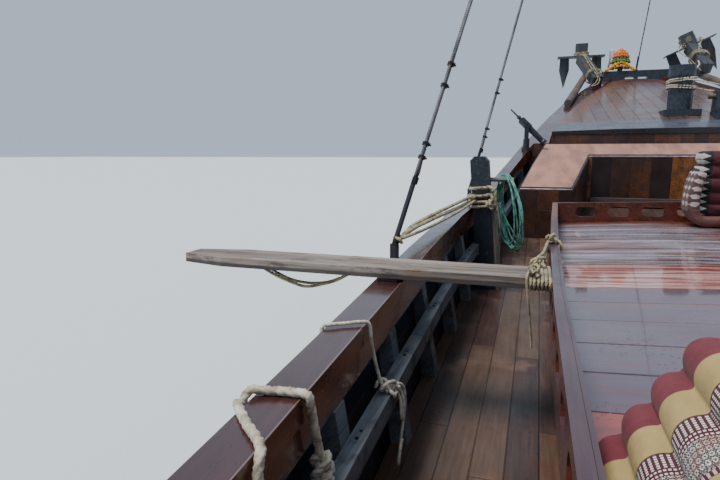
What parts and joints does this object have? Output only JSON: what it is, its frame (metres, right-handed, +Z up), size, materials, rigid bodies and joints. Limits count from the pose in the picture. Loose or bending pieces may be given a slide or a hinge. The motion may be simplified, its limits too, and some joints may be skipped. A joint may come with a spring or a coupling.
{
  "type": "pirate ship tour boat",
  "caption": "Wooden tour boat in pirate junk style: raised bow with anchors, framed bulwarks, lounge deck, mast with boom and stays, aft cabin, helm, rudder and propeller.",
  "frame": {"origin": "on the waterline amidships, on the centreline", "axes": "+X to the bow, +Y to port, +Z up"},
  "size_m": [24.5226, 6.6429, 15.7],
  "materials": {
    "hull_paint": "dark stain, worn",
    "deck_wood": "weathered planks, dark seams",
    "foredeck_wood": "worn varnish",
    "varnish": "gloss varnish, reddish brown",
    "bench_wood": "varnished upright boards, mixed golden and dark",
    "weathered_wood": "bare grey, checked",
    "black_timber": "navy black paint, worn",
    "black_iron": "dull black",
    "bronze": "dull",
    "wire": "tarnished galvanised wire",
    "mat": "plain weave, dark piping",
    "canvas": "matt canvas",
    "cushion_cloth": "woven stripes",
    "rope_white": "laid rope, dirty white",
    "rope_teal": "laid rope, teal"
  },
  "bodies": {
    "boat": {"hull_stern": "hull_paint", "hull_middle": "hull_paint", "hull_bow": "hull_paint", "main_deck": "deck_wood", "bulwark_port": "hull_paint", "bulwark_starboard": "hull_paint", "bulwark_frames_port": "weathered_wood", "bulwark_frames_starboard": "weathered_wood", "cap_rail_port": "varnish", "foredeck_cap_port": "varnish", "cap_rail_starboard": "varnish", "foredeck_cap_starboard": "varnish", "bitt_post_port": "black_timber", "bitt_post_starboard": "black_timber", "foredeck": "foredeck_wood", "forecastle_bulkhead": "bench_wood", "bow_beam": "black_timber", "bow_log_port": "weathered_wood", "bow_log_starboard": "weathered_wood", "anchor_port": "black_iron", "anchor_starboard": "black_iron", "foredeck_post": "black_timber", "windlass_frame": "black_timber", "bow_bench": "bench_wood", "bench_mats": "mat", "lounge_deck": "varnish", "lounge_trunk": "bench_wood", "lounge_rail": "varnish", "gangplank": "weathered_wood", "gun_post": "black_iron", "main_mast": "varnish", "shroud_port_aft": "wire", "shroud_port_fore": "wire", "shroud_starboard_aft": "wire", "shroud_starboard_fore": "wire", "forestay": "wire", "cabin_front": "varnish", "cabin_back": "varnish", "cabin_side_port": "varnish", "cabin_side_starboard": "varnish", "quarterdeck": "deck_wood", "quarterdeck_railing": "varnish", "quarterdeck_ladder": "weathered_wood", "helm_pedestal": "varnish", "mizzen_mast": "varnish", "wedge_cushion": "cushion_cloth", "folded_mattress": "cushion_cloth", "white_rope": "rope_white", "thin_rope": "rope_white", "mooring_line": "rope_white", "rope_hank": "rope_teal"},
    "rudder": {"rudder": "hull_paint"},
    "helm_wheel": {"helm_wheel": "varnish"},
    "propeller": {"propeller": "bronze"},
    "main_boom": {"main_boom": "varnish", "furled_sail": "canvas"},
    "cabin_door": {"cabin_door": "varnish"},
    "windlass_barrel": {"windlass_barrel": "weathered_wood"},
    "gun_fork": {"gun_fork": "black_iron"},
    "gun_barrel": {"gun_barrel": "black_iron"}
  },
  "joints": [
    {"name": "rudder_turn", "type": "hinge", "parent": "boat", "child": "rudder", "pos_m": [-10.15, 0, -0.5], "axis": [0, 0, 1], "range_deg": [-36, 36]},
    {"name": "helm_wheel_turn", "type": "hinge", "parent": "boat", "child": "helm_wheel", "pos_m": [-7.12, 0, 4.13], "axis": [1, 0, 0], "range_deg": [-180, 180]},
    {"name": "propeller_spin", "type": "hinge", "parent": "boat", "child": "propeller", "pos_m": [-9.56, 0, -0.86], "axis": [1, 0, 0], "continuous": true},
    {"name": "boom_swing", "type": "hinge", "parent": "boat", "child": "main_boom", "pos_m": [3.92, 0, 4.05], "axis": [0, 0, 1], "range_deg": [-36, 36]},
    {"name": "cabin_door_swing", "type": "hinge", "parent": "boat", "child": "cabin_door", "pos_m": [-6.184, 0.368, 2.2], "axis": [0, 0, 1], "range_deg": [0, 110]},
    {"name": "windlass_turn", "type": "hinge", "parent": "boat", "child": "windlass_barrel", "pos_m": [7.25, -0.83, 3.32575], "axis": [0, 1, 0], "continuous": true},
    {"name": "gun_swivel", "type": "hinge", "parent": "boat", "child": "gun_fork", "pos_m": [6.25, 2.195, 2.7], "axis": [0, 0, 1], "range_deg": [-50, 50]},
    {"name": "gun_tilt", "type": "hinge", "parent": "gun_fork", "child": "gun_barrel", "pos_m": [6.25, 2.195, 2.90033], "axis": [-1, 0, 0], "range_deg": [0, 75]}
  ],
  "couplings": [
    {"joint": "helm_wheel_turn", "follows": "rudder_turn", "ratio": 5}
  ]
}
